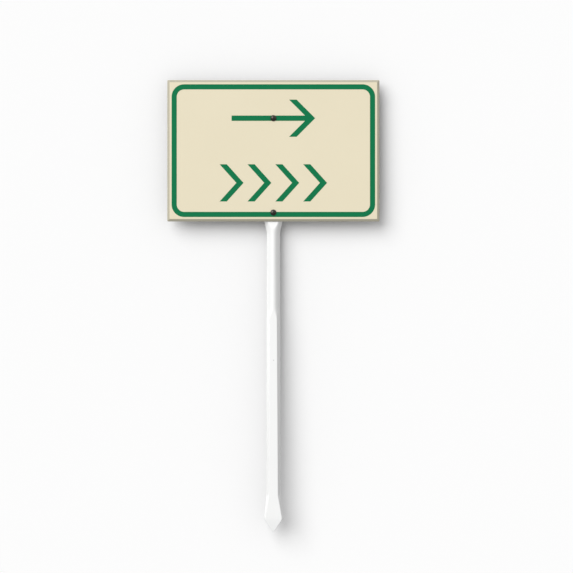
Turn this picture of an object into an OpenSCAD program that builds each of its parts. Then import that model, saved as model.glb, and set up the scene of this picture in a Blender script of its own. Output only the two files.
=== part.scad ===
// Yard sign: a bevelled board with a green print, screwed to a one-piece moulded ground stake.
// Millimetres. +Z is up, the sign faces -Y, and the origin is the middle of the stake's tip.

/* [Board] */
// Width of the board
panel_w = 457.2; // [330:0.1:610]
// Height of the board
panel_h = 304.8; // [265:0.1:460]
// Thickness of the board
panel_t = 6.35; // [5.5:0.05:12.7]
// Corner radius of the board
corner_r = 2; // [0.5:0.5:5]
// Width of the bevel round the front face
bevel_w = 5; // [1:0.5:8]
// Depth of the bevel at the board's edge
bevel_d = 4.5; // [0.5:0.5:5]
// Height of the lower screw above the board's bottom edge
lower_inset = 19.05; // [14:0.05:30]
// Distance of the upper screw, and of the arrow's middle, below the board's top edge
upper_inset = 82.55; // [70:0.05:95]

/* [Print] */
// Thickness of the printed film
print_t = 0.2; // [0.1:0.05:0.5]
// Distance of the border from the board's edge
border_margin = 9.5; // [8.5:0.5:16]
// Width of the border line
border_line = 11; // [6:0.5:14]
// Outer corner radius of the border
border_r = 27; // [16:1:40]
// Width of the strokes of the arrow and the chevrons
stroke = 11.4; // [7:0.2:15]
// Height of the arrow's head
arrow_h = 80; // [60:1:86]
// Length of the arrow
arrow_len = 180; // [120:1:250]
// Height of a chevron
chevron_h = 80; // [60:1:86]
// Run of a chevron from its open side to its apex
chevron_run = 36; // [24:1:44]
// Distance from one chevron to the next
chevron_pitch = 60; // [54:1:72]
// Number of chevrons
chevron_count = 4; // [2:1:4]
// Height of the chevrons' middle above the board's bottom edge
chevron_row = 83; // [72:1:96]

/* [Stake] */
// Length of the stake
stake_len = 914.4; // [760:0.1:1220]
// Distance of the upper screw below the top of the stake
top_inset = 23.15; // [18:0.05:40]
// Wall of the moulding
wall = 3; // [2.2:0.1:3.6]
// Depth of the channel behind the board
channel_d = 14; // [12:0.5:20]
// Height of the shaft's crest in front of the board's back
crest_h = 3; // [1:0.5:4]
// Width of the head behind the board
head_w = 44; // [40:1:60]
// Width of the head's front between its sloping sides
head_flat = 30; // [27:1:34]
// Corner radius at the top of the head
head_r = 8; // [4:1:14]
// Width of the shaft at the neck
neck_w = 28.4; // [25:0.1:34]
// Width of the shaft's front at the neck
neck_flat = 13.6; // [11:0.1:17]
// Width of the shaft above the blade
foot_w = 30.5; // [27:0.1:36]
// Width of the shaft's front above the blade
foot_flat = 20.2; // [16:0.1:24]
// Distance of the neck below the board's bottom edge
neck_drop = 31; // [24:1:44]
// Height of the flare from the neck to the head
flare_h = 50; // [40:1:56]
// Length of the rounded spine below the neck
spine_len = 155; // [80:1:300]
// Length in which the spine runs out into the flat front
spine_fade = 26; // [15:1:50]
// Distance that the head's flat seat reaches below the board
seat_lip = 2; // [1:0.5:4]
// Height of the sloping run-out below the seat
seat_fade = 14; // [8:1:20]

/* [Blade] */
// Width of the blade at its shoulders
blade_w = 40.4; // [34:0.1:60]
// Height of the top of the blade above the tip
blade_h = 78; // [60:1:110]
// Height of the shoulders above the tip
point_h = 27; // [20:1:40]
// Thickness of the blade at its shoulders
blade_t = 7; // [5:0.5:10]
// Width of the tip
tip_w = 3.2; // [2:0.1:6]
// Thickness of the tip
tip_t = 2; // [1:0.1:4]
// Solid length above the blade before the channel opens
root_h = 6; // [4:1:12]
// Length above the blade in which the channel reaches its full depth
rim_rise = 22; // [14:1:40]

/* [Webs] */
// Thickness of the cross webs in the channel
web_t = 2; // [1.5:0.1:3]
// Largest distance from one web to the next
web_pitch = 53; // [40:1:80]
// Distance of the webs' edges below the channel's rim
web_inset = 2; // [1:0.5:4]

/* [Fasteners] */
// Diameter of the screw's shank
screw_d = 6.35; // [6:0.05:6.4]
// Diameter of the screw's head
head_d = 13; // [11:0.1:15]
// Height of the straight side of the head
head_side = 1.2; // [0.6:0.1:2]
// Height of the dome on the head
head_dome = 2.8; // [1.5:0.1:3.6]
// Length of thread past the nut
screw_end = 2.3; // [1.5:0.05:6]
// Diameter of the holes in the board, the film, the stake and the washer
hole_d = 7.1; // [6.6:0.1:8]
// Outer diameter of the washer
washer_d = 15.9; // [13:0.1:17]
// Thickness of the washer
washer_t = 1.6; // [1:0.1:2.2]
// Width of the nut across its flats
nut_w = 11.1; // [10:0.1:12.7]
// Thickness of the nut
nut_t = 5.6; // [4:0.1:6.6]

/* [Hidden] */

// Smoothness of round parts, and steps along the stake's edges, flare and corners and the screw's dome
$fn = 64;
edge_steps = 8;
flare_steps = 10;
corner_steps = 5;
dome_steps = 8;
// Length by which a cut passes the face that it cuts
over = 1;

// Heights of the screws, the board and the stake's parts
upper_z = stake_len - top_inset;
panel_z = upper_z + upper_inset - panel_h;
lower_z = panel_z + lower_inset;
neck_z = panel_z - neck_drop;
spine_z = neck_z - spine_len;
seat_z = panel_z - seat_lip;
fade_z = seat_z - seat_fade;
// Height at which the channel has its full depth
rim_z = blade_h + rim_rise;
floor_z = blade_h + root_h;
roof_z = stake_len - wall;

// Share of a section's front edge that is rounded: on the spine, the head, its inside, and below
spine_round_ratio = 0.98;
head_round_ratio = 0.7;
seat_round_ratio = 0.3;
edge_round_ratio = 0.12;
// Sideways fall of the blade's edges at the shoulders and at the tip, and rounding of the shoulders
shoulder_fall = 1.2;
tip_fall = 0.5;
shoulder_soft = 3;
shoulder_step = 2;

// Distance of the outer webs from the screws and from the channel's floor
web_clear = 27;
web_first = 24;

// Radial play of the screw in the nut, and the chamfers of the nut and of the screw's end
thread_play = 0.05;
nut_chamfer = 0.9;
nut_face_ratio = 0.94;
end_chamfer = 0.8;
// Cross recess in the screw's head
recess_l = 6.4;
recess_w = 1.5;
recess_d = 2;

function lerp(a, b, t) = a + (b - a) * t;
function clamp01(t) = max(0, min(1, t));
function ease(t) = clamp01(t) * clamp01(t) * (3 - 2 * clamp01(t));
function ramp(z, z0, z1) = clamp01((z - z0) / (z1 - z0));
// The smaller of two values, rounded where they cross
function soft_min(a, b, k) = min(a, b) - pow(max(k - abs(a - b), 0), 2) / (4 * k);

// Outline of the stake seen from the front: half its width at height z
function half_w(z) =
    z > stake_len - head_r ?
        head_w / 2 - head_r + sqrt(max(0, pow(head_r, 2) - pow(z - stake_len + head_r, 2))) :
    z > neck_z ? lerp(neck_w, head_w, ease((z - neck_z) / flare_h)) / 2 :
    z > blade_h ? lerp(foot_w, neck_w, ramp(z, blade_h, neck_z)) / 2 :
    soft_min(
        lerp(tip_w, blade_w, z / point_h) / 2,
        lerp(blade_w, foot_w, (z - point_h) / (blade_h - point_h)) / 2,
        shoulder_soft
    );

// How far the side falls outwards from the front's edge to the rim at height z
function side_fall(z) =
    z > neck_z ? lerp(neck_w - neck_flat, head_w - head_flat, ease((z - neck_z) / flare_h)) / 2 :
    z > blade_h ? lerp(foot_w - foot_flat, neck_w - neck_flat, ramp(z, blade_h, neck_z)) / 2 :
    z > point_h ? lerp(shoulder_fall, (foot_w - foot_flat) / 2, ramp(z, point_h, blade_h)) :
    lerp(tip_fall, shoulder_fall, z / point_h);

// Front and rim of the section at height z
function front_y(z) = lerp(-tip_t / 2, -crest_h, ramp(z, 0, point_h));
function rim_y(z) =
    z < point_h ? lerp(tip_t / 2, blade_t - crest_h, z / point_h) :
    lerp(blade_t - crest_h, channel_d, ramp(z, point_h, rim_z));

// Rounding of the front's edges at height z: full on the spine, small on the shaft below it
function edge_soft(z) =
    z > neck_z ? lerp(spine_round_ratio, head_round_ratio, ease((z - neck_z) / flare_h)) :
    lerp(edge_round_ratio, spine_round_ratio, ease(ramp(z, spine_z - spine_fade, spine_z)));

// Half a front edge: a parabola from the flat front over the edge at [flat, front] to the side
function edge_point(flat, front, width, rim, soft, t) =
    let (
        a = [flat * (1 - soft), front],
        b = [flat, front],
        c = [lerp(flat, width, soft), lerp(front, rim, soft)]
    )
    a * pow(1 - t, 2) + b * 2 * t * (1 - t) + c * pow(t, 2);

// A section from the left rim over the front to the right rim, as points [x, y]
function section(flat, front, width, rim, soft) =
    let (
        half = [for (i = [0:edge_steps]) edge_point(flat, front, width, rim, soft, i / edge_steps)],
        right = concat(half, [[width, rim]]),
        n = len(right)
    )
    concat([for (i = [n - 1:-1:0]) [-right[i].x, right[i].y]], right);

function outer_section(z) =
    section(half_w(z) - side_fall(z), front_y(z), half_w(z), rim_y(z), edge_soft(z));

// The inside follows the outside at the wall's distance, and is flat behind the board's seat
function side_angle(z) = atan(side_fall(z) / (rim_y(z) - front_y(z)));
function inner_w(z, y) =
    half_w(z) - side_fall(z) + (y - front_y(z)) * tan(side_angle(z)) - wall / cos(side_angle(z));
function inner_front(z) = lerp(wall - crest_h, wall, ramp(z, fade_z, seat_z));
function inner_soft(z) = lerp(edge_soft(z), seat_round_ratio, ramp(z, fade_z, seat_z));
function inner_section(z) =
    section(
        inner_w(z, inner_front(z)), inner_front(z),
        inner_w(z, channel_d + over), channel_d + over, inner_soft(z)
    );

// Heights of the sections
shoulder_zs = [for (i = [-3:4]) point_h + i * shoulder_step];
fade_zs = [for (i = [0:4]) spine_z - spine_fade * (1 - i / 4)];
flare_zs = [for (i = [0:flare_steps]) neck_z + flare_h * i / flare_steps];
corner_zs = [for (i = [0:corner_steps]) stake_len - head_r * (1 - sin(90 * i / corner_steps))];
outer_zs = concat([0], shoulder_zs, [blade_h, rim_z], fade_zs, flare_zs, corner_zs);
inner_zs = concat(
    [floor_z, rim_z], fade_zs,
    [for (z = flare_zs) if (z < fade_z) z],
    [fade_z, (fade_z + seat_z) / 2, seat_z],
    [for (z = flare_zs) if (z > seat_z) z],
    [for (z = corner_zs) if (z < roof_z) z],
    [roof_z]
);

// Evenly spaced heights from one height to another, no further apart than the web pitch
function spread(z0, z1) =
    let (n = ceil((z1 - z0) / web_pitch))
    [for (i = [0:n]) lerp(z0, z1, i / n)];
web_zs = concat(
    spread(floor_z + web_first, neck_z),
    spread(lower_z + web_clear, upper_z - web_clear)
);

// A closed solid through sections of equal point count, one at each height
module loft(sections, heights) {
    n = len(sections[0]);
    last = len(sections) - 1;
    points = [for (k = [0:last]) for (p = sections[k]) [p.x, p.y, heights[k]]];
    bottom = [[for (i = [0:n - 1]) i]];
    top = [[for (i = [n - 1:-1:0]) last * n + i]];
    sides = [
        for (k = [0:last - 1]) for (i = [0:n - 1])
            let (
                a = k * n + i,
                b = k * n + (i + 1) % n,
                c = a + n,
                d = b + n
            )
            each i < n / 2 ? [[a, c, d], [a, d, b]] : [[a, c, b], [b, c, d]]
    ];
    polyhedron(points, concat(bottom, sides, top), convexity = 8);
}

module along_y(y, z) {
    translate([0, y, z]) rotate([-90, 0, 0]) children();
}

module screw_holes() {
    for (z = [lower_z, upper_z])
        along_y(-panel_t - print_t - over, z)
            cylinder(d = hole_d, h = panel_t + print_t + channel_d + 2 * over);
}

// Plane that flattens the crest into the board's seat, with its sloping run-out
module seat_cut() {
    slope = seat_fade / crest_h;
    translate([-head_w / 2 - over, 0, 0])
        rotate([90, 0, 90])
            linear_extrude(head_w + 2 * over)
                polygon([
                    [0, seat_z],
                    [0, stake_len + over],
                    [-crest_h - over, stake_len + over],
                    [-crest_h - over, fade_z - slope * over]
                ]);
}

module webs() {
    for (z = web_zs)
        translate([-head_w / 2, -crest_h, z - web_t / 2])
            cube([head_w, crest_h + channel_d - web_inset, web_t]);
}

// The stake is one moulding: head, flare, spine, channel shaft and blade
module stake() {
    color([0.96, 0.96, 0.95])
        difference() {
            loft([for (z = outer_zs) outer_section(z)], outer_zs);
            difference() {
                loft([for (z = inner_zs) inner_section(z)], inner_zs);
                webs();
            }
            seat_cut();
            screw_holes();
        }
}

module rounded_rect(w, h, r) {
    square([w - 2 * r, h], center = true);
    square([w, h - 2 * r], center = true);
    for (x = [-1, 1])
        for (y = [-1, 1])
            translate([x * (w / 2 - r), y * (h / 2 - r)])
                circle(r);
}

// Wedge that cuts the bevel along one edge of length l, lying along X with its corner at the origin
module bevel_cut(l) {
    rotate([90, 0, 90])
        linear_extrude(l + 4 * bevel_w, center = true)
            polygon([
                [-over, -over * bevel_w / bevel_d],
                [bevel_d + over * bevel_d / bevel_w, -over],
                [bevel_d, 0],
                [0, bevel_w],
                [-over, bevel_w + over * bevel_w / bevel_d]
            ]);
}

module sign_panel() {
    mid_z = panel_z + panel_h / 2;
    color([0.91, 0.87, 0.77])
        difference() {
            translate([0, 0, mid_z])
                rotate([90, 0, 0])
                    linear_extrude(panel_t)
                        rounded_rect(panel_w, panel_h, corner_r);
            for (turn = [0, 180])
                translate([0, -panel_t, mid_z])
                    rotate([0, turn, 0])
                        translate([0, 0, -panel_h / 2])
                            bevel_cut(panel_w);
            for (turn = [90, -90])
                translate([0, -panel_t, mid_z])
                    rotate([0, turn, 0])
                        translate([0, 0, -panel_w / 2])
                            bevel_cut(panel_h);
            screw_holes();
        }
}

// A flat shape in the sign's plane, made a film on the board's face
module film(z) {
    translate([0, -panel_t, z])
        rotate([90, 0, 0])
            linear_extrude(print_t)
                children();
}

// A pointer with its apex at the origin, opening to the left
module chevron(run, h) {
    thick = stroke * norm([run, h / 2]) / (h / 2);
    polygon([
        [0, 0],
        [-run, h / 2],
        [-run - thick, h / 2],
        [-thick, 0],
        [-run - thick, -h / 2],
        [-run, -h / 2]
    ]);
}

module border_print() {
    color([0.05, 0.48, 0.31])
        difference() {
            film(panel_z + panel_h / 2)
                difference() {
                    rounded_rect(
                        panel_w - 2 * border_margin,
                        panel_h - 2 * border_margin,
                        border_r
                    );
                    rounded_rect(
                        panel_w - 2 * border_margin - 2 * border_line,
                        panel_h - 2 * border_margin - 2 * border_line,
                        border_r - border_line
                    );
                }
            screw_holes();
        }
}

// The arrow's shaft runs under the upper screw
module arrow_print() {
    color([0.05, 0.48, 0.31])
        difference() {
            film(upper_z) {
                translate([arrow_len / 2, 0])
                    chevron(arrow_h / 2, arrow_h);
                translate([-arrow_len / 2, -stroke / 2])
                    square([arrow_len - stroke, stroke]);
            }
            screw_holes();
        }
}

module chevrons_print() {
    thick = stroke * norm([chevron_run, chevron_h / 2]) / (chevron_h / 2);
    row_w = (chevron_count - 1) * chevron_pitch + chevron_run + thick;
    color([0.05, 0.48, 0.31])
        film(panel_z + chevron_row)
            for (i = [0:chevron_count - 1])
                translate([row_w / 2 - i * chevron_pitch, 0])
                    chevron(chevron_run, chevron_h);
}

// Half the outline of a screw along its axis: shank, straight side of the head, and dome
module screw_outline(shank) {
    dome_r = (pow(head_d / 2, 2) + pow(head_dome, 2)) / (2 * head_dome);
    dome_angle = asin(head_d / 2 / dome_r);
    dome = [
        for (i = [0:dome_steps])
            let (a = dome_angle * (1 - i / dome_steps))
            [dome_r * sin(a), dome_r * (1 - cos(a)) - head_side - head_dome]
    ];
    polygon(concat([
        [0, shank],
        [screw_d / 2 - end_chamfer, shank],
        [screw_d / 2, shank - end_chamfer],
        [screw_d / 2, 0],
        [head_d / 2, 0]
    ], dome));
}

// Pan-head screw at height z, from its seat on the film to past the nut
module screw(z) {
    seat = panel_t + print_t;
    color([0.13, 0.11, 0.10])
        along_y(-seat, z)
            difference() {
                rotate_extrude()
                    screw_outline(seat + wall + washer_t + nut_t + screw_end);
                for (turn = [0, 90])
                    rotate([0, 0, turn])
                        translate([-recess_l / 2, -recess_w / 2, -head_side - head_dome - over])
                            cube([recess_l, recess_w, recess_d + over]);
            }
}

module upper_screw() {
    screw(upper_z);
}

module lower_screw() {
    screw(lower_z);
}

// Flat washer on the inside of the stake's front wall
module washer(z) {
    color([0.72, 0.73, 0.75])
        along_y(wall, z)
            difference() {
                cylinder(d = washer_d, h = washer_t);
                translate([0, 0, -over])
                    cylinder(d = hole_d, h = washer_t + 2 * over);
            }
}

module upper_washer() {
    washer(upper_z);
}

module lower_washer() {
    washer(lower_z);
}

// Hexagon nut on the washer, with its corners turned off on both faces
module nut(z) {
    nut_r = nut_w / 2 / cos(30);
    color([0.72, 0.73, 0.75])
        along_y(wall + washer_t, z)
            difference() {
                intersection() {
                    cylinder(r = nut_r, h = nut_t, $fn = 6);
                    rotate_extrude()
                        polygon([
                            [0, 0],
                            [nut_w / 2 * nut_face_ratio, 0],
                            [nut_r, nut_chamfer],
                            [nut_r, nut_t - nut_chamfer],
                            [nut_w / 2 * nut_face_ratio, nut_t],
                            [0, nut_t]
                        ]);
                }
                translate([0, 0, -over])
                    cylinder(d = screw_d + 2 * thread_play, h = nut_t + 2 * over);
            }
}

module upper_nut() {
    nut(upper_z);
}

module lower_nut() {
    nut(lower_z);
}

stake();
sign_panel();
border_print();
arrow_print();
chevrons_print();
upper_screw();
lower_screw();
upper_washer();
lower_washer();
upper_nut();
lower_nut();
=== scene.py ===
import math

import bmesh
import bpy
import numpy as np
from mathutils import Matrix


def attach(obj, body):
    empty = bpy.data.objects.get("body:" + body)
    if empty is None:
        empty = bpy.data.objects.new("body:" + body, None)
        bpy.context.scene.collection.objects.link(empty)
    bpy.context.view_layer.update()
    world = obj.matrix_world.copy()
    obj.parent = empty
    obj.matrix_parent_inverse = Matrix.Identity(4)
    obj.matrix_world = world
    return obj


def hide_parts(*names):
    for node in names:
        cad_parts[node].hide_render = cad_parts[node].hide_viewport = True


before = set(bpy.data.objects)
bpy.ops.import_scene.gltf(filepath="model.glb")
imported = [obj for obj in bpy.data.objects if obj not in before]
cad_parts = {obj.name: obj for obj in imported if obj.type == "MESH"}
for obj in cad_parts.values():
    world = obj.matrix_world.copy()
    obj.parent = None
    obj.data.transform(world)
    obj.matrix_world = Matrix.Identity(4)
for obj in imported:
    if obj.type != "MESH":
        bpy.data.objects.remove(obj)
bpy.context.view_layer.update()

print("frame loaded with", len(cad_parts), "nodes")


# Small tools for meshes. All shapes are worked out in millimetres and put down in metres.
millimetres = 1000  # in a metre
shortEdge = 1e-6  # metres: an edge shorter than this is dissolved
drillSides = 64
drillReach = 30  # millimetres, to the front and to the back


def ease(t):  # smooth step: 3 t^2 - 2 t^3, held at 0 and 1
    t = np.clip(t, 0, 1)
    return t * t * (3 - 2 * t)


def ramp(z, start, end):  # straight rise from 0 at start to 1 at end
    return np.clip((z - start) / (end - start), 0, 1)


def mix(a, b, t):  # straight line from a to b
    return a + (b - a) * t


def bend(a, b, c, t):  # parabola from a to c that leaves and arrives along the lines to b
    return a * (1 - t) ** 2 + b * 2 * t * (1 - t) + c * t ** 2


def steps(count, whole=False):  # parameter values along one stretch, without its end unless whole
    return np.linspace(0, 1, count, endpoint=whole)


def ringMesh(name, points, capped):
    # Skin over a grid of closed rings, points[row, column, xyz]: each face joins two neighbours in a
    # row to the two below them. Capped closes the first and last ring, else the last row joins the first.
    rows, columns = points.shape[:2]
    row = np.arange(rows - 1 if capped else rows)[:, None]
    column = np.arange(columns)[None, :]
    below = (row + 1) % rows
    beside = (column + 1) % columns
    quads = np.stack([
        row * columns + column,
        row * columns + beside,
        below * columns + beside,
        below * columns + column,
    ], axis=-1).reshape(-1, 4).tolist()
    caps = [list(range(columns)), list(range((rows - 1) * columns, rows * columns))]
    mesh = bpy.data.meshes.new(name)
    places = (points.reshape(-1, 3) / millimetres).tolist()
    mesh.from_pydata(places, [], quads + (caps if capped else []))
    work = bmesh.new()
    work.from_mesh(mesh)
    bmesh.ops.dissolve_degenerate(work, dist=shortEdge, edges=work.edges)
    bmesh.ops.recalc_face_normals(work, faces=work.faces)
    work.to_mesh(mesh)
    work.free()
    return mesh


def drillHoles(mesh, heights, diameter):
    # Cuts round holes with a boolean: each drill is a circle at x = 0 and the height, carried along Y
    piece = bpy.data.objects.new("drilled", mesh)
    bpy.context.scene.collection.objects.link(piece)
    angle = 2 * math.pi * steps(drillSides)[None, :]
    y = np.array([-drillReach, drillReach])[:, None] + 0 * angle
    drills = []
    for z in heights:
        around = np.stack([
            diameter / 2 * np.cos(angle) + 0 * y,
            y,
            z + diameter / 2 * np.sin(angle) + 0 * y,
        ], axis=-1)
        drill = bpy.data.objects.new("drill", ringMesh("drill", around, True))
        bpy.context.scene.collection.objects.link(drill)
        cut = piece.modifiers.new("hole", "BOOLEAN")
        cut.object = drill
        cut.solver = "MANIFOLD"
        drills.append(drill)
    result = bpy.data.meshes.new_from_object(piece.evaluated_get(bpy.context.evaluated_depsgraph_get()))
    for helper in drills + [piece]:
        bpy.data.objects.remove(helper, do_unlink=True)
    return result


def addPiece(name, mesh, sharpAngle, materials, node):
    # Puts the mesh in the scene as one piece that rides on the frame and stands for its CAD node.
    # Edges that turn by more than the sharp angle, in degrees, stay sharp.
    mesh.materials.clear()
    for material in materials:
        mesh.materials.append(material)
    mesh.shade_smooth()
    mesh.set_sharp_from_angle(angle=math.radians(sharpAngle))
    piece = bpy.data.objects.new(name, mesh)
    bpy.context.scene.collection.objects.link(piece)
    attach(piece, "root")
    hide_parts(node)


# Small tools for materials. A colour Mix node has several sockets of one name, so they go by number.
mixShare = 0
colourA = 6
colourB = 7
colourMixed = 2


def toLinear(hexColour):  # sRGB hex to the linear values that sockets take, by the standard's own curve
    channels = [int(hexColour[i:i + 2], 16) / 255 for i in (1, 3, 5)]
    return tuple(c / 12.92 if c <= 0.04045 else ((c + 0.055) / 1.055) ** 2.4 for c in channels) + (1,)


def addNode(tree, kind, settings=None, inputs=None):  # a node, its settings, and what feeds its sockets
    node = tree.nodes.new("ShaderNode" + kind)
    for key, value in (settings or {}).items():
        setattr(node, key, value)
    for key, value in (inputs or {}).items():
        if isinstance(value, bpy.types.NodeSocket):
            tree.links.new(value, node.inputs[key])
        else:
            node.inputs[key].default_value = value
    return node


def newMaterial(name):  # an empty material and its node tree
    material = bpy.data.materials.new(name)
    material.use_nodes = True
    material.node_tree.nodes.clear()
    return material, material.node_tree


# White ABS, injection moulded: an even satin white with a soft sheen, hardly visible flow marks,
# a fine eroded grain, and a point that turns slightly greyer and rougher in streaks towards the tip
absLook = {
    "white": "#F8F8F7",
    "flowWhite": "#F5F6F5",
    "flowScale": 14,  # flow marks about 70 mm across
    "shine": (0.36, 0.66),  # roughness from the plain white to the greyer streaks
    "ior": 1.54,
    "grainScale": 900,  # grain about 1.1 mm, where the real one is 0.1 mm and would not show
    "grainDepth": 0.00004,
    "grainStrength": 0.6,
    "streakGrey": "#ECEDED",
    "streakHeights": (0.045, 0.01),  # metres above the tip where the greyer streaks begin and are full
    "streakScale": 60,  # streaks about 17 mm long, and across the stake a sixth of that
    "streakStretch": (6, 6, 1),  # how much finer along X, Y and Z
    "gateGrey": "#CFCFCD",
    "gatePlace": (0.0005, -0.003, 0.370),  # metres, on the shaft's front
    "gateRadius": 0.0014,
    "gateFull": 0.6,  # share of the radius inside which the gate's mark is full
}


def makeAbs():
    material, tree = newMaterial("white moulded ABS")
    place = addNode(tree, "TexCoord").outputs["Object"]
    flow = addNode(tree, "TexNoise", None, {
        "Vector": place, "Scale": absLook["flowScale"], "Detail": 3, "Roughness": 0.45,
    })
    base = addNode(tree, "Mix", {"data_type": "RGBA"}, {
        mixShare: flow.outputs["Fac"],
        colourA: toLinear(absLook["white"]), colourB: toLinear(absLook["flowWhite"]),
    })
    height = addNode(tree, "SeparateXYZ", None, {0: place}).outputs["Z"]
    streakStart, streakFull = absLook["streakHeights"]
    low = addNode(tree, "MapRange", {"interpolation_type": "SMOOTHSTEP"}, {
        "Value": height, "From Min": streakStart, "From Max": streakFull, "To Min": 0, "To Max": 1,
    })
    stretched = addNode(tree, "Mapping", None, {"Vector": place, "Scale": absLook["streakStretch"]})
    streaks = addNode(tree, "TexNoise", None, {
        "Vector": stretched.outputs[0], "Scale": absLook["streakScale"], "Detail": 6, "Roughness": 0.62,
    })
    streakShare = addNode(tree, "Math", {"operation": "MULTIPLY"}, {
        0: low.outputs["Result"], 1: streaks.outputs["Fac"],
    })
    # Greyer in streaks towards the tip
    streaked = addNode(tree, "Mix", {"data_type": "RGBA"}, {
        mixShare: streakShare.outputs[0],
        colourA: base.outputs[colourMixed], colourB: toLinear(absLook["streakGrey"]),
    })
    # The gate's mark: a small spot where the plastic entered the mould, sunk a little
    away = addNode(tree, "VectorMath", {"operation": "DISTANCE"}, {0: place, 1: absLook["gatePlace"]})
    gate = addNode(tree, "MapRange", {"interpolation_type": "SMOOTHSTEP"}, {
        "Value": away.outputs["Value"], "From Min": absLook["gateRadius"],
        "From Max": absLook["gateRadius"] * absLook["gateFull"], "To Min": 0, "To Max": 1,
    })
    marked = addNode(tree, "Mix", {"data_type": "RGBA"}, {
        mixShare: gate.outputs["Result"],
        colourA: streaked.outputs[colourMixed], colourB: toLinear(absLook["gateGrey"]),
    })
    grain = addNode(tree, "TexNoise", None, {
        "Vector": place, "Scale": absLook["grainScale"], "Detail": 2, "Roughness": 0.5,
    })
    relief = addNode(tree, "Math", {"operation": "SUBTRACT"}, {
        0: grain.outputs["Fac"], 1: gate.outputs["Result"],
    })
    bump = addNode(tree, "Bump", None, {
        "Height": relief.outputs[0],
        "Distance": absLook["grainDepth"], "Strength": absLook["grainStrength"],
    })
    shine = addNode(tree, "MapRange", None, {
        "Value": streakShare.outputs[0], "To Min": absLook["shine"][0], "To Max": absLook["shine"][1],
    })
    shader = addNode(tree, "BsdfPrincipled", None, {
        "Base Color": marked.outputs[colourMixed], "Roughness": shine.outputs["Result"],
        "Normal": bump.outputs["Normal"], "IOR": absLook["ior"],
    })
    addNode(tree, "OutputMaterial", None, {"Surface": shader.outputs["BSDF"]})
    return material


# Cream polyethylene sheet, pressed flat: warm, even and satin, with a faint orange peel
boardLook = {
    "cream": "#E9DFC3",
    "warmCream": "#E5DBBE",
    "cloudScale": 9,  # clouds about 110 mm across
    "shine": (0.37, 0.48),  # roughness from the cream to the warmer parts
    "ior": 1.51,
    "peelScale": 260,  # orange peel about 4 mm, drawn coarser than the real 1 mm
    "peelDepth": 0.00005,
    "peelStrength": 0.5,
    # The routed colours are the sheet's greyer core, darkened further by painted shade of the bevel
    "routedCreamAndShade": "#C0BAA5",
    "routedDarkAndShade": "#AEA996",
    "routedRoughness": 0.55,
    "patchScale": 45,  # darker patches about 22 mm along the edge
    "cutterPitch": 0.0016,  # metres between cutter marks, drawn coarser than the real 0.8 mm
    "cutterDepth": 0.00004,
    "cutterStrength": 0.5,
}


def makeBoardFace():
    material, tree = newMaterial("cream pressed polyethylene")
    place = addNode(tree, "TexCoord").outputs["Object"]
    clouds = addNode(tree, "TexNoise", None, {
        "Vector": place, "Scale": boardLook["cloudScale"], "Detail": 4, "Roughness": 0.5,
    })
    cream = addNode(tree, "Mix", {"data_type": "RGBA"}, {
        mixShare: clouds.outputs["Fac"],
        colourA: toLinear(boardLook["cream"]), colourB: toLinear(boardLook["warmCream"]),
    })
    peel = addNode(tree, "TexNoise", None, {
        "Vector": place, "Scale": boardLook["peelScale"], "Detail": 1.5, "Roughness": 0.4,
    })
    bump = addNode(tree, "Bump", None, {
        "Height": peel.outputs["Fac"],
        "Distance": boardLook["peelDepth"], "Strength": boardLook["peelStrength"],
    })
    shine = addNode(tree, "MapRange", None, {
        "Value": clouds.outputs["Fac"], "To Min": boardLook["shine"][0], "To Max": boardLook["shine"][1],
    })
    shader = addNode(tree, "BsdfPrincipled", None, {
        "Base Color": cream.outputs[colourMixed], "Roughness": shine.outputs["Result"],
        "Normal": bump.outputs["Normal"], "IOR": boardLook["ior"],
    })
    addNode(tree, "OutputMaterial", None, {"Surface": shader.outputs["BSDF"]})
    return material


# The same sheet where a router has cut its edge: greyer and duller, darkened further by painted shade of
# the bevel, with cutter marks across the edge
def makeRoutedEdgeAndShade():
    material, tree = newMaterial("routed sheet edge with painted shade")
    place = addNode(tree, "TexCoord").outputs["Object"]
    # A diagonal wave turns by ten times its scale for each unit of x + y + z, which grows by the
    # square root of 3 for each unit across the bands
    waveTurn = 10 * math.sqrt(3)
    marks = addNode(tree, "TexWave", {"bands_direction": "DIAGONAL"}, {
        "Vector": place, "Scale": 2 * math.pi / boardLook["cutterPitch"] / waveTurn,
        "Distortion": 1.5, "Detail": 2,
    })
    patches = addNode(tree, "TexNoise", None, {
        "Vector": place, "Scale": boardLook["patchScale"], "Detail": 5, "Roughness": 0.6,
    })
    blend = addNode(tree, "Math", {"operation": "MULTIPLY"}, {
        0: marks.outputs["Fac"], 1: patches.outputs["Fac"],
    })
    # Greyer core and painted shade of the bevel, mixed along the cutter marks
    cut = addNode(tree, "Mix", {"data_type": "RGBA"}, {
        mixShare: blend.outputs[0],
        colourA: toLinear(boardLook["routedCreamAndShade"]), colourB: toLinear(boardLook["routedDarkAndShade"]),
    })
    bump = addNode(tree, "Bump", None, {
        "Height": marks.outputs["Fac"],
        "Distance": boardLook["cutterDepth"], "Strength": boardLook["cutterStrength"],
    })
    shader = addNode(tree, "BsdfPrincipled", None, {
        "Base Color": cut.outputs[colourMixed], "Roughness": boardLook["routedRoughness"],
        "Normal": bump.outputs["Normal"], "IOR": boardLook["ior"],
    })
    addNode(tree, "OutputMaterial", None, {"Surface": shader.outputs["BSDF"]})
    return material


# Green cast vinyl film, cut and laid on: a dense colour under a matt laminate, less glossy than the board
vinylLook = {
    "green": "#05784A",
    "deepGreen": "#047146",
    "cloudScale": 30,  # clouds about 33 mm across
    "shine": (0.37, 0.5),  # roughness from the green to the deeper parts
    "specular": 0.12,  # the laminate gives less gloss than bare vinyl
    "ior": 1.48,
    "peelScale": 320,  # orange peel about 3 mm, drawn coarser than the real 1 mm
    "peelDepth": 0.00004,
    "peelStrength": 0.5,
}


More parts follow.
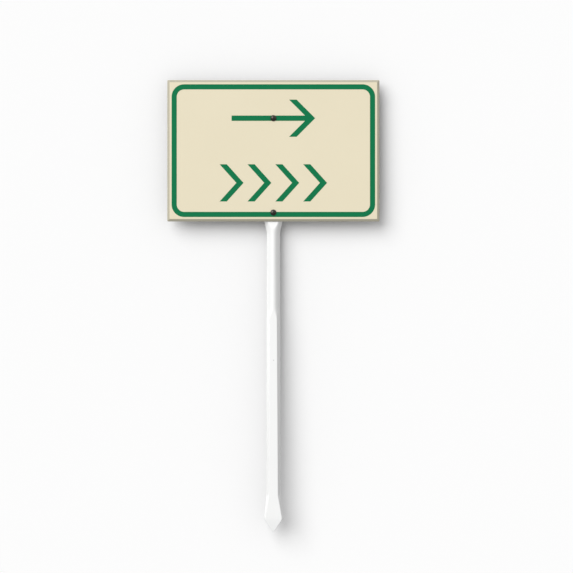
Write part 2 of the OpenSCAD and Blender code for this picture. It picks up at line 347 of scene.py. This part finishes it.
def makeVinyl():
    material, tree = newMaterial("green cast vinyl")
    place = addNode(tree, "TexCoord").outputs["Object"]
    clouds = addNode(tree, "TexNoise", None, {
        "Vector": place, "Scale": vinylLook["cloudScale"], "Detail": 4, "Roughness": 0.55,
    })
    green = addNode(tree, "Mix", {"data_type": "RGBA"}, {
        mixShare: clouds.outputs["Fac"],
        colourA: toLinear(vinylLook["green"]), colourB: toLinear(vinylLook["deepGreen"]),
    })
    peel = addNode(tree, "TexNoise", None, {
        "Vector": place, "Scale": vinylLook["peelScale"], "Detail": 1.5,
    })
    bump = addNode(tree, "Bump", None, {
        "Height": peel.outputs["Fac"],
        "Distance": vinylLook["peelDepth"], "Strength": vinylLook["peelStrength"],
    })
    shine = addNode(tree, "MapRange", None, {
        "Value": clouds.outputs["Fac"], "To Min": vinylLook["shine"][0], "To Max": vinylLook["shine"][1],
    })
    shader = addNode(tree, "BsdfPrincipled", None, {
        "Base Color": green.outputs[colourMixed], "Roughness": shine.outputs["Result"],
        "Normal": bump.outputs["Normal"], "IOR": vinylLook["ior"],
        "Specular IOR Level": vinylLook["specular"],
    })
    addNode(tree, "OutputMaterial", None, {"Surface": shader.outputs["BSDF"]})
    return material


# Steel blackened in a hot bath and oiled: a near black metal under a thin film that catches a sharp
# highlight at the dome's upper left
blackLook = {
    "black": "#22211B",
    "wornBlack": "#3A382E",
    "stainScale": 420,  # stains about 2.4 mm
    "stainDepth": 0.00003,
    "stainStrength": 0.6,
    "shine": (0.24, 0.4),  # roughness from the clean to the stained parts
    "oil": 0.7,
    "oilRoughness": 0.14,
}


def makeBlackSteel():
    material, tree = newMaterial("black oxide steel")
    place = addNode(tree, "TexCoord").outputs["Object"]
    stain = addNode(tree, "TexNoise", None, {
        "Vector": place, "Scale": blackLook["stainScale"], "Detail": 5, "Roughness": 0.6,
    })
    black = addNode(tree, "Mix", {"data_type": "RGBA"}, {
        mixShare: stain.outputs["Fac"],
        colourA: toLinear(blackLook["black"]), colourB: toLinear(blackLook["wornBlack"]),
    })
    shine = addNode(tree, "MapRange", None, {
        "Value": stain.outputs["Fac"], "To Min": blackLook["shine"][0], "To Max": blackLook["shine"][1],
    })
    bump = addNode(tree, "Bump", None, {
        "Height": stain.outputs["Fac"],
        "Distance": blackLook["stainDepth"], "Strength": blackLook["stainStrength"],
    })
    shader = addNode(tree, "BsdfPrincipled", None, {
        "Base Color": black.outputs[colourMixed], "Roughness": shine.outputs["Result"],
        "Normal": bump.outputs["Normal"], "Metallic": 1,
        "Coat Weight": blackLook["oil"], "Coat Roughness": blackLook["oilRoughness"],
    })
    addNode(tree, "OutputMaterial", None, {"Surface": shader.outputs["BSDF"]})
    return material


# Steel with bright zinc plate: cool silver with a faint blue and straw tint and fine pressing marks
zincLook = {
    "blueSilver": "#BFC6CE",
    "strawSilver": "#D3CFC2",
    "cloudScale": 240,  # clouds about 4 mm
    "shine": (0.2, 0.42),  # roughness from the blue to the straw parts
    "markScale": 2200,  # pressing marks about 0.5 mm
    "markDepth": 0.00002,
    "markStrength": 0.5,
}


def makeZinc():
    material, tree = newMaterial("bright zinc plate")
    place = addNode(tree, "TexCoord").outputs["Object"]
    clouds = addNode(tree, "TexNoise", None, {
        "Vector": place, "Scale": zincLook["cloudScale"], "Detail": 4, "Roughness": 0.6,
    })
    silver = addNode(tree, "Mix", {"data_type": "RGBA"}, {
        mixShare: clouds.outputs["Fac"],
        colourA: toLinear(zincLook["blueSilver"]), colourB: toLinear(zincLook["strawSilver"]),
    })
    shine = addNode(tree, "MapRange", None, {
        "Value": clouds.outputs["Fac"], "To Min": zincLook["shine"][0], "To Max": zincLook["shine"][1],
    })
    marks = addNode(tree, "TexNoise", None, {
        "Vector": place, "Scale": zincLook["markScale"], "Detail": 3,
    })
    bump = addNode(tree, "Bump", None, {
        "Height": marks.outputs["Fac"],
        "Distance": zincLook["markDepth"], "Strength": zincLook["markStrength"],
    })
    shader = addNode(tree, "BsdfPrincipled", None, {
        "Base Color": silver.outputs[colourMixed], "Roughness": shine.outputs["Result"],
        "Normal": bump.outputs["Normal"], "Metallic": 1,
    })
    addNode(tree, "OutputMaterial", None, {"Surface": shader.outputs["BSDF"]})
    return material


whiteAbs = makeAbs()
boardFace = makeBoardFace()
routedEdgeAndShade = makeRoutedEdgeAndShade()
greenVinyl = makeVinyl()
blackSteel = makeBlackSteel()
zincPlate = makeZinc()
print("materials ready")


# The stake, in millimetres: head, flare, spine, channel shaft with cross webs, and blade.
# Heights count from the tip, and depths from the board's back.
stakeShape = {
    "length": 914.4,
    "wall": 3,
    "channel": 14,  # depth of the channel behind the board
    "crest": 3,  # how far the shaft stands in front of the board's back
    "headWidth": 44,
    "headFlat": 30,  # width of the front between its sloping sides, given for the neck and foot too
    "headRadius": 8,
    "neckWidth": 28.4,
    "neckFlat": 13.6,
    "footWidth": 30.5,
    "footFlat": 20.2,
    "neckTop": 638,
    "flare": 50,  # height of the flare from neck to head
    "spineEnd": 483,
    "spineFade": 26,  # the round spine turns into the flat front over this height below its end
    "seat": 667,  # height above which the front is planed flat for the board
    "seatFade": 14,  # the planing runs out over this height below the seat
    "bladeWidth": 40.4,
    "bladeTop": 78,
    "bladeThick": 7,
    "shoulder": 27,
    "shoulderSoftness": 3,  # the shoulder is rounded where its two tapers differ by less than this
    "shoulderFall": 1.2,  # how far the side leans out at the shoulder
    "tipFall": 0.5,
    "tipWidth": 3.2,
    "tipThick": 2,
    "channelFull": 100,  # height above which the channel has its full depth
    "channelEnd": 84,  # height of the channel's floor, with solid plastic below it
    "roof": 911.4,  # height of the channel's roof, with solid plastic above it
    "webTop": 12,  # depth that the cross webs reach
    "webHalf": 1,  # half their thickness
    "webSlope": 0.25,  # width of a web's sloping side
    "webSteepness": 60,  # fall of that side for each millimetre
    "lowerWebs": (108, 638, 11),  # first and last height, and how many
    "upperWebs": (715.05, 864.25, 4),
    "holes": (688.05, 891.25),  # heights of the two screws
    "holeDiameter": 7.1,
    "edgeRadius": 0.6,
    "edgeShare": 0.2,  # of the side's length, which the edge's radius stays under
    # The round over the front's edge takes this share of the front's half and of the side
    "spineRound": 0.94,
    "headRound": 0.7,
    "shaftRound": 0.12,
    "seatRound": 0.3,  # inside, where the front is planed
    "sharpAngle": 32,
}
# Columns of the grid in each stretch of half the section, from the front's middle to the inside's
stakeColumns = {
    "front": 5,
    "frontEdge": 26,
    "side": 6,
    "rim": 4,
    "innerSide": 8,
    "innerEdge": 18,
    "innerFront": 5,
}
# Rows of the grid: their spacing in millimetres along each stretch, and counts for the rounded ends
stakeRows = {
    "tipEnd": 2,  # the blade's rows begin this far above the tip
    "blade": 1.5,
    "shaft": 3.5,
    "spineFade": 2,
    "neck": 0.7,
    "flare": 2,
    "topEnd": 12,  # the shaft's rows end this far below the top
    "jump": 0.05,  # height over which the channel's floor and roof begin
    "webSide": (0, 0.12, 0.6, 1),  # shares of a web's sloping side, from its foot up
    "endCount": 6,
    "cornerCount": 12,
    "decimals": 3,  # rows that agree to this many decimals are one
}
leastLength = 0.001  # millimetres: keeps a direction from being divided by nothing


def stakeHalfWidth(z):
    # Half the width seen from the front: an eased flare from neck to head, straight tapers below it,
    # a rounded shoulder between the blade's two tapers, and a round corner at the top
    s = stakeShape
    overShoulder = (z - s["shoulder"]) / (s["bladeTop"] - s["shoulder"])
    point = mix(s["tipWidth"], s["bladeWidth"], z / s["shoulder"]) / 2
    blade = mix(s["bladeWidth"], s["footWidth"], overShoulder) / 2
    close = np.maximum(s["shoulderSoftness"] - np.abs(point - blade), 0)
    low = np.minimum(point, blade) - close ** 2 / (4 * s["shoulderSoftness"])
    shaft = mix(s["footWidth"], s["neckWidth"], ramp(z, s["bladeTop"], s["neckTop"])) / 2
    flare = mix(s["neckWidth"], s["headWidth"], ease((z - s["neckTop"]) / s["flare"])) / 2
    over = np.clip(z - s["length"] + s["headRadius"], 0, s["headRadius"])
    corner = s["headWidth"] / 2 - s["headRadius"] + np.sqrt(s["headRadius"] ** 2 - over ** 2)
    whole = np.where(z > s["neckTop"], flare, np.where(z > s["bladeTop"], shaft, low))
    return np.where(over > 0, corner, whole)


def stakeSideFall(z):
    # How far the side leans out between the front's edge and the rim: straight tapers from tip to neck,
    # and an eased one to the head
    s = stakeShape
    foot = (s["footWidth"] - s["footFlat"]) / 2
    neck = (s["neckWidth"] - s["neckFlat"]) / 2
    head = (s["headWidth"] - s["headFlat"]) / 2
    low = np.where(
        z > s["shoulder"],
        mix(s["shoulderFall"], foot, ramp(z, s["shoulder"], s["bladeTop"])),
        mix(s["tipFall"], s["shoulderFall"], z / s["shoulder"]),
    )
    shaft = mix(foot, neck, ramp(z, s["bladeTop"], s["neckTop"]))
    flare = mix(neck, head, ease((z - s["neckTop"]) / s["flare"]))
    return np.where(z > s["neckTop"], flare, np.where(z > s["bladeTop"], shaft, low))


def stakeSection(z):
    # Closed section at each height: front flat, a parabola over the front's edge, sloping side, rounded
    # rim, and the same again inside at the wall's distance. The front is planed off level with the
    # board's back along the seat, and the inside is filled up to the webs, the floor and the roof.
    s = stakeShape
    columns = stakeColumns
    half = stakeHalfWidth(z)
    fall = stakeSideFall(z)
    front = mix(-s["tipThick"] / 2, -s["crest"], ramp(z, 0, s["shoulder"]))
    rim = np.where(
        z < s["shoulder"],
        mix(s["tipThick"] / 2, s["bladeThick"] - s["crest"], z / s["shoulder"]),
        mix(s["bladeThick"] - s["crest"], s["channel"], ramp(z, s["shoulder"], s["channelFull"])),
    )
    spine = ease(ramp(z, s["spineEnd"] - s["spineFade"], s["spineEnd"]))
    soft = np.where(
        z > s["neckTop"],
        mix(s["spineRound"], s["headRound"], ease((z - s["neckTop"]) / s["flare"])),
        mix(s["shaftRound"], s["spineRound"], spine),
    )
    planed = ramp(z, s["seat"] - s["seatFade"], s["seat"])

    # The inside. In the solid ends it is the channel's floor and roof, shrunk with the outline.
    near = np.clip(z, s["channelEnd"], s["roof"])
    halfNear = stakeHalfWidth(near)
    fallNear = stakeSideFall(near)
    rimNear = mix(s["bladeThick"] - s["crest"], s["channel"], ramp(near, s["shoulder"], s["channelFull"]))
    lean = np.arctan(fallNear / (rimNear + s["crest"]))
    innerFront = mix(s["wall"] - s["crest"], s["wall"], planed)
    innerSoft = mix(soft, s["seatRound"], planed)
    shrink = half / halfNear

    def innerWidth(y):  # half the width inside at a depth: the side's own line, a wall further in
        return halfNear - fallNear + (y + s["crest"]) * np.tan(lean) - s["wall"] / np.cos(lean)

    def spot(x, y):  # one point of the section for every height
        return np.stack([x + 0 * z, y + 0 * z], axis=-1)[:, None, :]

    def along(stretch, whole=False):  # parameter values for the columns of one stretch
        return steps(columns[stretch], whole)[None, :, None]

    corner = spot(half, rim)
    edge = spot(half - fall, front)
    sideLength = np.linalg.norm(corner - edge, axis=-1, keepdims=True)
    back = (edge - corner) / sideLength
    rimRadius = np.minimum(s["edgeRadius"], s["edgeShare"] * sideLength)
    innerCorner = spot(np.maximum(innerWidth(rimNear), 0) * shrink, rim)
    innerEdge = spot(np.maximum(innerWidth(innerFront), 0) * shrink, innerFront)
    innerLength = np.linalg.norm(innerCorner - innerEdge, axis=-1, keepdims=True)
    innerBack = (innerEdge - innerCorner) / np.maximum(innerLength, leastLength)
    side = spot(np.ones_like(z), np.zeros_like(z))
    flatEnd = edge * np.stack([1 - soft, np.ones_like(soft)], axis=-1)[:, None, :]
    sideStart = mix(edge, corner, soft[:, None, None])
    innerFlatEnd = innerEdge * np.stack([1 - innerSoft, np.ones_like(soft)], axis=-1)[:, None, :]
    innerSideStart = mix(innerEdge, innerCorner, innerSoft[:, None, None])
    rimStart = corner + back * rimRadius
    innerRimEnd = innerCorner + innerBack * rimRadius
    outer = np.concatenate([
        mix(spot(0, front), flatEnd, along("front")),
        bend(flatEnd, edge, sideStart, along("frontEdge")),
        mix(sideStart, rimStart, along("side")),
        bend(rimStart, corner, corner - side * rimRadius, along("rim", True)),
    ], axis=1)
    inner = np.concatenate([
        bend(innerCorner + side * rimRadius, innerCorner, innerRimEnd, along("rim")),
        mix(innerRimEnd, innerSideStart, along("innerSide")),
        bend(innerSideStart, innerEdge, innerFlatEnd, along("innerEdge")),
        mix(innerFlatEnd, spot(0, innerFront), along("innerFront", True)),
    ], axis=1)
    seatPlane = np.where(z < s["seat"] - s["seatFade"], -np.inf, mix(-s["crest"], 0, planed))
    outer[:, :, 1] = np.maximum(outer[:, :, 1], seatPlane[:, None])
    inner[:, :, 1] = np.maximum(inner[:, :, 1], stakeFill(z, rim)[:, None])
    halfRing = np.concatenate([outer, inner], axis=1)
    mirrored = halfRing[:, -2:0:-1] * np.array([-1, 1])
    ring = np.concatenate([halfRing, mirrored], axis=1)

    # The two ends are rounded off: each coordinate is held inside a circle's distance from the end
    radius = s["edgeRadius"]
    fromEnd = np.clip(np.minimum(z, s["length"] - z), 0, radius)
    inset = radius - np.sqrt(radius ** 2 - (radius - fromEnd) ** 2)
    widest = (np.abs(ring[:, :, 0]).max(axis=1) - inset)[:, None]
    foremost = (ring[:, :, 1].min(axis=1) + inset)[:, None]
    rearmost = (ring[:, :, 1].max(axis=1) - inset)[:, None]
    x = np.clip(ring[:, :, 0], -widest, widest)
    y = np.clip(ring[:, :, 1], foremost, rearmost)
    return np.stack([x, y, z[:, None] + 0 * x], axis=-1)


def webHeights():  # the heights of all cross webs: two rows, each evenly spaced
    s = stakeShape
    return np.concatenate([np.linspace(*s["lowerWebs"]), np.linspace(*s["upperWebs"])])


def stakeFill(z, rim):
    # Level up to which the channel is filled: a flat-topped web with slightly sloping sides at each
    # web height, and the whole depth below the channel's floor and above its roof
    s = stakeShape
    distance = np.abs(z[:, None] - webHeights()[None, :]).min(axis=1)
    flat = s["webHalf"] - s["webSlope"]
    web = np.where(distance < flat, s["webTop"], s["webTop"] - s["webSteepness"] * (distance - flat))
    solid = (z <= s["channelEnd"]) | (z >= s["roof"])
    return np.where(solid, rim, web)


def stakeHeights():  # rows of the grid: close where the form changes, wider on the plain shaft
    s = stakeShape
    rows = stakeRows
    top = s["length"]
    side = s["webHalf"] - s["webSlope"] * np.array(rows["webSide"])
    webs = webHeights()[:, None] + np.concatenate([-side, [0], side])[None, :]
    ends = s["edgeRadius"] * steps(rows["endCount"], True) ** 2
    return np.unique(np.round(np.concatenate([
        ends,
        np.arange(rows["tipEnd"], s["channelEnd"], rows["blade"]),
        [s["shoulder"], s["bladeTop"], s["channelEnd"], s["channelEnd"] + rows["jump"], s["channelFull"]],
        np.arange(s["channelFull"], top - rows["topEnd"], rows["shaft"]),
        webs.ravel(),
        np.arange(s["spineEnd"] - s["spineFade"], s["spineEnd"], rows["spineFade"]),
        np.arange(s["neckTop"], s["seat"], rows["neck"]),
        np.arange(s["seat"], s["neckTop"] + s["flare"], rows["flare"]),
        [s["seat"] - s["seatFade"], s["seat"], s["roof"] - rows["jump"], s["roof"]],
        top - s["headRadius"] * (1 - np.sin(np.pi / 2 * steps(rows["cornerCount"]))),
        top - ends,
    ]), rows["decimals"]))


stakeMesh = drillHoles(
    ringMesh("stake", stakeSection(stakeHeights()), True),
    stakeShape["holes"], stakeShape["holeDiameter"],
)
addPiece("groundStake", stakeMesh, stakeShape["sharpAngle"], [whiteAbs], "stake")
print("stake:", len(stakeMesh.polygons), "faces")


# The board, in millimetres: a sheet with a routed bevel round its front
boardShape = {
    "width": 457.2,
    "height": 304.8,
    "thick": 6.35,
    "bottom": 669.0,
    "bevelWidth": 5,
    "bevelDepth": 4.5,
    "cornerRadius": 2,
    "leastRadius": 0.3,  # of the corners of the rings further in
    "softening": 0.7,  # radius at the edges of the bevel
    "backSoftening": 0.4,  # radius at the back's edge
    "margin": 12,  # width of the outer strip of both faces
    "edgeRows": 6,
    "cornerColumns": 8,
    "sharpAngle": 40,
    "flatShare": 0.97,  # a face is uncut if this much of its normal points to the front or back
}


def boardRings():
    # Rings round the board, from the front face over the bevel to the back: each is a rounded rectangle
    # drawn in by the profile's inset, whose corner radius shrinks by as much
    b = boardShape
    soft = b["softening"]
    backSoft = b["backSoftening"]
    face = np.array([b["bevelWidth"], -b["thick"]])
    lip = np.array([0, b["bevelDepth"] - b["thick"]])
    slope = (lip - face) / np.linalg.norm(lip - face)
    across = np.array([1.0, 0])
    along = np.array([0, 1.0])
    t = steps(b["edgeRows"], True)[:, None]
    profile = np.concatenate([
        [[b["margin"], -b["thick"]]],
        bend(face + across * soft, face, face + slope * soft, t),
        bend(lip - slope * soft, lip, lip + along * soft, t),
        bend(-along * backSoft, along * 0, across * backSoft, t),
        [[b["margin"], 0]],
    ])
    inset = profile[:, 0][:, None]
    radius = np.maximum(b["cornerRadius"] - inset, b["leastRadius"])
    quarters = np.arange(4)[:, None] + steps(b["cornerColumns"], True)[None, :]
    turn = quarters.ravel()[None, :] * math.pi / 2
    signX = np.repeat([1, -1, -1, 1], b["cornerColumns"])[None, :]
    signZ = np.repeat([1, 1, -1, -1], b["cornerColumns"])[None, :]
    x = signX * (b["width"] / 2 - inset - radius) + radius * np.cos(turn)
    z = signZ * (b["height"] / 2 - inset - radius) + radius * np.sin(turn)
    y = profile[:, 1][:, None] + 0 * x
    return np.stack([x, y, z + b["bottom"] + b["height"] / 2], axis=-1)


boardMesh = drillHoles(
    ringMesh("board", boardRings(), True),
    stakeShape["holes"], stakeShape["holeDiameter"],
)
addPiece("signBoard", boardMesh, boardShape["sharpAngle"], [boardFace, routedEdgeAndShade], "sign_panel")

# Every face of the board that isn't parallel to its front was cut by the router or the drill, and takes
# the routed colour with its painted shade
normals = np.zeros(len(boardMesh.polygons) * 3)
boardMesh.polygons.foreach_get("normal", normals)
cutAndShaded = np.abs(normals[1::3]) < boardShape["flatShare"]
boardMesh.polygons.foreach_set("material_index", cutAndShaded.astype(np.int32))
for name in ("border_print", "arrow_print", "chevrons_print"):
    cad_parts[name].data.materials.clear()
    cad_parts[name].data.materials.append(greenVinyl)
print("board:", len(boardMesh.polygons), "faces")


# The screws, in millimetres: a domed head with a cross recess, and a thread that shows behind the nut.
# Depths along a screw count from the face that its head sits on.
screwShape = {
    "seat": -6.55,  # the face of the film, on which the head sits
    "headRadius": 6.5,
    "side": 1.2,
    "dome": 2.8,
    "edge": 0.25,  # radius of the head's edges
    "shankRadius": 3.175,
    "neck": (0.2, 0.05),  # how much wider the screw is at its seat, and how deep that ends
    "length": 19.05,
    "pitch": 1.27,
    "threadDepth": 0.42,
    "threadStart": (9, 10),  # depths at which the thread begins and is full
    "threadFade": (0.5, 0.1),  # distances from the end at which it begins to fade and is gone
    "chamfer": 0.8,
    "endInset": 0.9,  # how far the end face lies inside the shank's radius
    "recessLength": 6.4,
    "recessWidth": 1.5,
    "recessDepth": 2,
    "recessSlope": 0.3,  # width of the recess's sloping walls
    "poleRadius": 0.06,  # of the first ring, at the dome's middle
    "sides": 120,
    "domeRows": 46,
    "shankRows": 130,
    "sharpAngle": 35,
}


def screwRings(height):
    # Rings along the screw. On the dome the depth follows a circle of the dome's radius, less the
    # recess: a cross whose walls slope. On the shank the radius follows a triangle wave that climbs
    # one pitch in a turn.
    s = screwShape
    angle = 2 * math.pi * steps(s["sides"])[None, :]
    domeRadius = (s["headRadius"] ** 2 + s["dome"] ** 2) / (2 * s["dome"])
    reach = np.linspace(s["poleRadius"], s["headRadius"] - s["edge"], s["domeRows"])[:, None]
    u = np.abs(reach * np.cos(angle))
    v = np.abs(reach * np.sin(angle))
    bar = np.maximum(u - s["recessLength"] / 2, v - s["recessWidth"] / 2)
    post = np.maximum(v - s["recessLength"] / 2, u - s["recessWidth"] / 2)
    recess = s["recessDepth"] * ease(-np.minimum(bar, post) / s["recessSlope"])
    fall = domeRadius - np.sqrt(domeRadius ** 2 - reach ** 2)
    domeY = fall - s["side"] - s["dome"] + recess
    domeR = reach + 0 * angle

    # The head's side, in shares of its edge's radius: over the edge, down to the seat and in to the shank
    wider, neckEnd = s["neck"]
    edgeY = s["edge"] * np.array([-0.2, 0.8, -1, 0, 0])
    edgeR = s["edge"] * np.array([-0.4, 0, 0, -1, 0])
    rimY = (np.array([-s["side"], -s["side"], 0, 0, 0]) + edgeY)[:, None]
    rimR = (np.array([s["headRadius"]] * 4 + [s["shankRadius"] + wider]) + edgeR)[:, None]

    end = s["length"]
    fadeStart, fadeEnd = s["threadFade"]
    shankY = np.linspace(neckEnd, end - fadeEnd, s["shankRows"])[:, None] + 0 * angle
    wave = np.abs(((shankY / s["pitch"] - angle / (2 * math.pi)) % 1) * 2 - 1)
    fade = ramp(shankY, *s["threadStart"]) * (1 - ramp(shankY, end - fadeStart, end - fadeEnd))
    chamfer = s["chamfer"] * ramp(shankY, end - s["chamfer"], end)
    shankR = np.minimum(s["shankRadius"] - s["threadDepth"] * wave * fade, s["shankRadius"] - chamfer)
    endY = end + 0 * angle
    endR = s["shankRadius"] - s["endInset"] + 0 * angle
    y = np.concatenate([domeY, rimY + 0 * angle, shankY, endY])
    radius = np.concatenate([domeR, rimR + 0 * angle, shankR, endR])
    return np.stack([
        radius * np.cos(angle), s["seat"] + y, height + radius * np.sin(angle),
    ], axis=-1)


# The washers and nuts on the inside of the stake's wall, in millimetres
washerShape = {
    "front": 3,
    "thick": 1.6,
    "radius": 7.95,
    "bore": 3.55,
    "edge": 0.35,
    "sides": 96,
    "cornerRows": 5,
    "sharpAngle": 50,
}
nutShape = {
    "front": 4.6,
    "thick": 5.6,
    "acrossFlats": 11.1,
    "bore": 3.225,
    "boreChamfer": 0.5,
    "chamfer": 0.9,
    "face": 0.94,  # radius of the round face, as a share of half the width across the flats
    "sides": 144,
    "coneRows": 7,
    "sharpAngle": 25,
}


def washerRings(height):
    # Rings round a rectangle with rounded corners, turned about the screw: a stamped washer
    w = washerShape
    angle = 2 * math.pi * steps(w["sides"])[None, :]
    quarters = np.arange(4)[:, None] + steps(w["cornerRows"], True)[None, :]
    turn = quarters.ravel()[:, None] * math.pi / 2
    outward = np.repeat([1, -1, -1, 1], w["cornerRows"])[:, None]
    upward = np.repeat([1, 1, -1, -1], w["cornerRows"])[:, None]
    middle = (w["radius"] + w["bore"]) / 2
    radius = middle + outward * ((w["radius"] - w["bore"]) / 2 - w["edge"]) + w["edge"] * np.cos(turn)
    y = w["front"] + w["thick"] / 2 + upward * (w["thick"] / 2 - w["edge"]) + w["edge"] * np.sin(turn)
    return np.stack([
        radius * np.cos(angle), y + 0 * angle, height + radius * np.sin(angle),
    ], axis=-1)


def nutRings(height):
    # Rings turned about the screw, each held inside the hexagon: distance to a flat over the cosine of
    # the angle from its middle. The chamfers are cones, so the corners are turned off in arcs.
    n = nutShape
    angle = 2 * math.pi * steps(n["sides"])[None, :]
    halfSide = math.pi / 6  # half the angle that one flat takes
    flat = n["acrossFlats"] / 2
    point = flat / math.cos(halfSide)
    fromFlat = (angle + halfSide) % (2 * halfSide) - halfSide
    hexagon = flat / np.cos(fromFlat)
    rows = steps(n["coneRows"], True)
    cone = mix(flat * n["face"], point, rows)
    y = np.concatenate([[0], mix(0, n["chamfer"], rows), [n["thick"] / 2]])
    reach = np.concatenate([[n["bore"] + n["boreChamfer"]], cone, [point]])
    y = np.concatenate([[n["boreChamfer"]], y, n["thick"] - y[-2::-1], [n["thick"] - n["boreChamfer"]]])
    reach = np.concatenate([[n["bore"]], reach, reach[-2::-1], [n["bore"]]])
    radius = np.minimum(reach[:, None], hexagon)
    return np.stack([
        radius * np.cos(angle), n["front"] + y[:, None] + 0 * angle, height + radius * np.sin(angle),
    ], axis=-1)


# Each fastener: the ends of its piece's and its node's name, its shape, its rings, whether they are
# closed with caps, its finish and its slot
fasteners = [
    ("Screw", "_screw", screwShape, screwRings, True, blackSteel, "black_steel"),
    ("Washer", "_washer", washerShape, washerRings, False, zincPlate, "zinc_steel"),
    ("Nut", "_nut", nutShape, nutRings, False, zincPlate, "zinc_steel"),
]
for label, height in zip(("lower", "upper"), stakeShape["holes"]):
    for kind, node, shape, rings, capped, metal, slotName in fasteners:
        fastenerMesh = ringMesh(label + kind, rings(height), capped)
        addPiece(label + kind, fastenerMesh, shape["sharpAngle"], [metal], label + node)
print("fasteners ready")


# The stage, in metres: a white wall close behind the sign, which takes its soft shadow, and a pale floor.
# The wall draws away from the sign towards the stake's tip, which widens the stake's shadow.
# Both are seen from one side only, and let lamp light through, to the back of the sign too.
stageLook = {
    "wallDistance": 0.032,  # behind the board's back, at the height of the board's middle
    "wallTurn": 1.5,  # degrees by which the wall draws away towards its foot
    "wallReach": 6,  # half the wall's width and height
    "wallWhite": "#FEFEFE",
    "floorHeight": -0.1,
    "floorTurn": -90,
    "floorReach": 12,
    "floorWhite": "#F0F0EE",
}


def addPlane(name, reach, place, turn, material):
    # A square that faces the front, turned about X in degrees: reach is half its width and height
    mesh = bpy.data.meshes.new(name)
    corners = [(-reach, 0, -reach), (reach, 0, -reach), (reach, 0, reach), (-reach, 0, reach)]
    mesh.from_pydata(corners, [], [(0, 1, 2, 3)])
    mesh.materials.append(material)
    plane = bpy.data.objects.new(name, mesh)
    plane.location = place
    plane.rotation_euler = (math.radians(turn), 0, 0)
    bpy.context.scene.collection.objects.link(plane)
    return plane


def makeStagePaint(name, colour):  # painted on one side only: clear from behind and to lamp light
    material, tree = newMaterial(name)
    paint = addNode(tree, "BsdfPrincipled", None, {
        "Base Color": toLinear(colour), "Roughness": 1, "Specular IOR Level": 0,
    })
    shadow = addNode(tree, "LightPath").outputs["Is Shadow Ray"]
    behind = addNode(tree, "NewGeometry").outputs["Backfacing"]
    either = addNode(tree, "Math", {"operation": "MAXIMUM"}, {0: shadow, 1: behind})
    clear = addNode(tree, "BsdfTransparent")
    both = addNode(tree, "MixShader", None, {
        0: either.outputs[0], 1: paint.outputs["BSDF"], 2: clear.outputs["BSDF"],
    })
    addNode(tree, "OutputMaterial", None, {"Surface": both.outputs[0]})
    return material


wallPaint = makeStagePaint("matt white wall paint", stageLook["wallWhite"])
floorPaint = makeStagePaint("matt white floor paint", stageLook["floorWhite"])
boardMiddle = (boardShape["bottom"] + boardShape["height"] / 2) / millimetres
wallPlace = (0, stageLook["wallDistance"], boardMiddle)
floorPlace = (0, 0, stageLook["floorHeight"])
wall = addPlane("wall", stageLook["wallReach"], wallPlace, stageLook["wallTurn"], wallPaint)
wall.visible_glossy = False
wall.visible_diffuse = False
floor = addPlane("floor", stageLook["floorReach"], floorPlace, stageLook["floorTurn"], floorPaint)
floor.visible_diffuse = False
floor.visible_shadow = False

# Two far lamps, with angles in degrees. Their light isn't bounced on, so it can't fill the shadow.
lampLook = {
    "key": {"strength": 2.12, "fromLeft": 31, "above": 26, "angle": 50},
    "back": {"strength": 1.4, "fromLeft": 155, "above": 25, "angle": 60},
}
for name, look in lampLook.items():
    lamp = bpy.data.lights.new(name, "SUN")
    lamp.energy = look["strength"]
    lamp.angle = math.radians(look["angle"])
    lamp.cycles.max_bounces = 0
    sun = bpy.data.objects.new(name, lamp)
    # fromLeft is counted from the front, towards the left
    sun.rotation_euler = (math.radians(90 - look["above"]), 0, -math.radians(look["fromLeft"]))
    bpy.context.scene.collection.objects.link(sun)

# The world gives even light, and is plain white where the camera, a reflection or glass sees it
worldLook = {
    "ambient": 0.475,
    "lastDepth": 1.5,  # its light comes straight to a surface, and not over a second one
}
world = bpy.data.worlds.new("studio")
bpy.context.scene.world = world
world.use_nodes = True
sky = world.node_tree
sky.nodes.clear()
path = addNode(sky, "LightPath")
seen = addNode(sky, "Math", {"operation": "MAXIMUM"}, {
    0: path.outputs["Is Camera Ray"], 1: path.outputs["Is Glossy Ray"],
})
seenOrThrough = addNode(sky, "Math", {"operation": "MAXIMUM"}, {
    0: seen.outputs[0], 1: path.outputs["Is Transmission Ray"],
})
first = addNode(sky, "Math", {"operation": "LESS_THAN"}, {
    0: path.outputs["Diffuse Depth"], 1: worldLook["lastDepth"],
})
even = addNode(sky, "Math", {"operation": "MULTIPLY"}, {0: first.outputs[0], 1: worldLook["ambient"]})
level = addNode(sky, "MapRange", None, {
    "Value": seenOrThrough.outputs[0], "To Min": even.outputs[0], "To Max": 1,
})
glow = addNode(sky, "Background", None, {"Color": (1, 1, 1, 1), "Strength": level.outputs["Result"]})
addNode(sky, "OutputWorld", None, {"Surface": glow.outputs["Background"]})
world.cycles.sampling_method = "NONE"
print("stage ready")


# The camera looks straight at the sign from afar, at the photograph's framing
cameraPlace = {
    "lens": 135,  # millimetres
    "sensor": 36,  # millimetres
    "frameWidth": 1.234,  # metres across the picture at the board's face
    "x": 0.0283,  # metres
    "z": 0.5288,
    "farthest": 100,  # metres: nothing further away is drawn
}
lens = bpy.data.cameras.new("camera")
lens.lens = cameraPlace["lens"]
lens.sensor_width = cameraPlace["sensor"]
lens.clip_end = cameraPlace["farthest"]
distance = cameraPlace["frameWidth"] * cameraPlace["lens"] / cameraPlace["sensor"]
camera = bpy.data.objects.new("camera", lens)
camera.location = (cameraPlace["x"], -distance - boardShape["thick"] / millimetres, cameraPlace["z"])
camera.rotation_euler = (math.pi / 2, 0, 0)
bpy.context.scene.collection.objects.link(camera)
bpy.context.scene.camera = camera

bpy.context.scene.view_settings.view_transform = "Standard"

bpy.context.view_layer.update()
print("scene ready")
